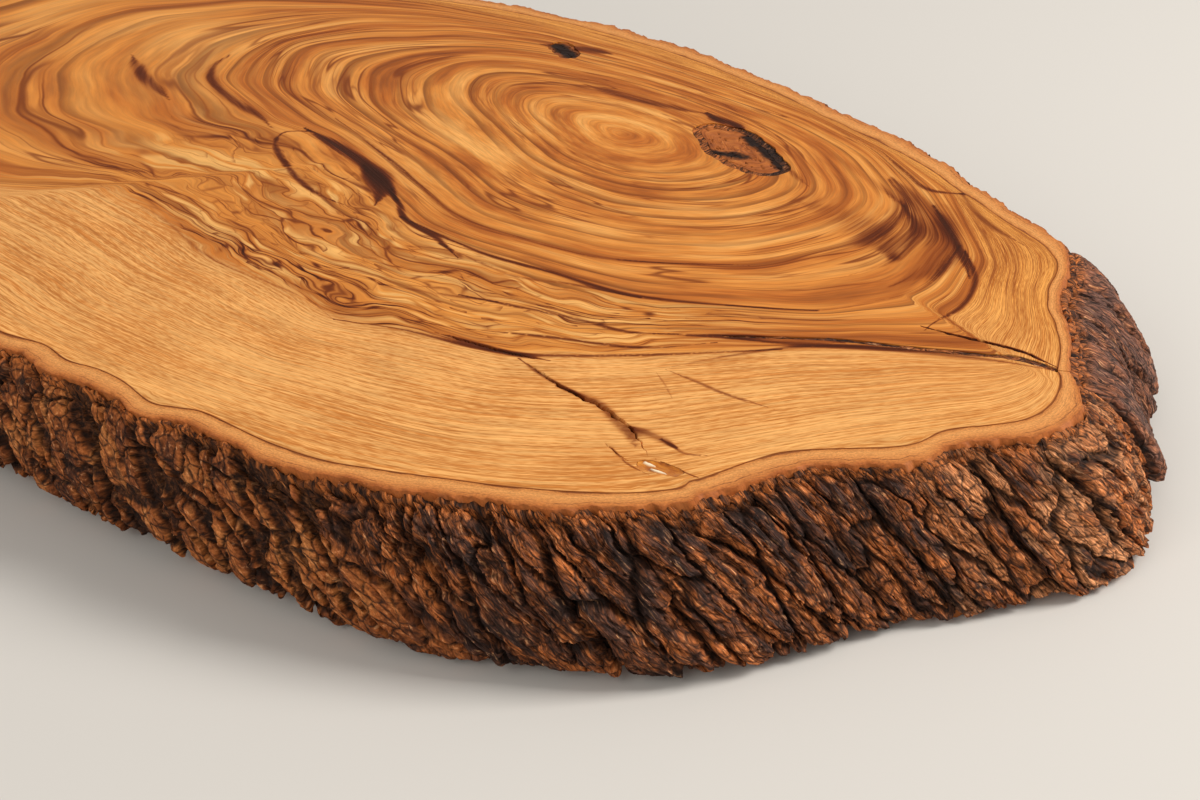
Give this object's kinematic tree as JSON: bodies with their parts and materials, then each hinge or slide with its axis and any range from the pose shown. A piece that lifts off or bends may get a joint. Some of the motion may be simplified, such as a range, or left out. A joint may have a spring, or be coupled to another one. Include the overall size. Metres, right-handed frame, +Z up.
{
  "type": "cutting board",
  "caption": "Live-edge cutting board: an oval slice of olive trunk with figured wood, a flat cutting face, rough bark left on round its rim and a notch where two lobes of the trunk met.",
  "frame": {"origin": "middle of the board's box, on the face that it rests on", "axes": "+X along the length towards the notched end that the picture shows, +Y across to the back, +Z up out of the cutting face"},
  "size_m": [0.3476, 0.2114, 0.03],
  "materials": {
    "olive_wood": "oiled satin",
    "inner_bark": "sawn, matt",
    "bark": "rough, matt",
    "knot_wood": "oiled satin",
    "gum": "glossy amber"
  },
  "bodies": {
    "root": {"olive_slab": "olive_wood", "inner_bark_front": "inner_bark", "inner_bark_corner": "inner_bark", "inner_bark_nose": "inner_bark", "inner_bark_rear_lobe": "inner_bark", "inner_bark_back": "inner_bark", "inner_bark_far_end": "inner_bark", "front_bark_1": "bark", "front_bark_2": "bark", "front_bark_3": "bark", "front_bark_4": "bark", "front_bark_5": "bark", "corner_bark_1": "bark", "corner_bark_2": "bark", "corner_bark_3": "bark", "corner_bark_4": "bark", "nose_bark_1": "bark", "nose_bark_2": "bark", "nose_bark_3": "bark", "nose_bark_4": "bark", "rear_lobe_bark_1": "bark", "rear_lobe_bark_2": "bark", "rear_lobe_bark_3": "bark", "back_bark_1": "bark", "back_bark_2": "bark", "back_bark_3": "bark", "back_bark_4": "bark", "back_bark_5": "bark", "back_bark_6": "bark", "back_bark_7": "bark", "far_end_bark_1": "bark", "far_end_bark_2": "bark", "far_end_bark_3": "bark", "far_end_bark_4": "bark", "far_end_bark_5": "bark", "far_end_bark_6": "bark", "included_bark": "bark", "branch_knot": "knot_wood", "knot_bark_sleeve": "bark", "pin_knot": "knot_wood", "gum_pocket": "gum"}
  },
  "joints": []
}
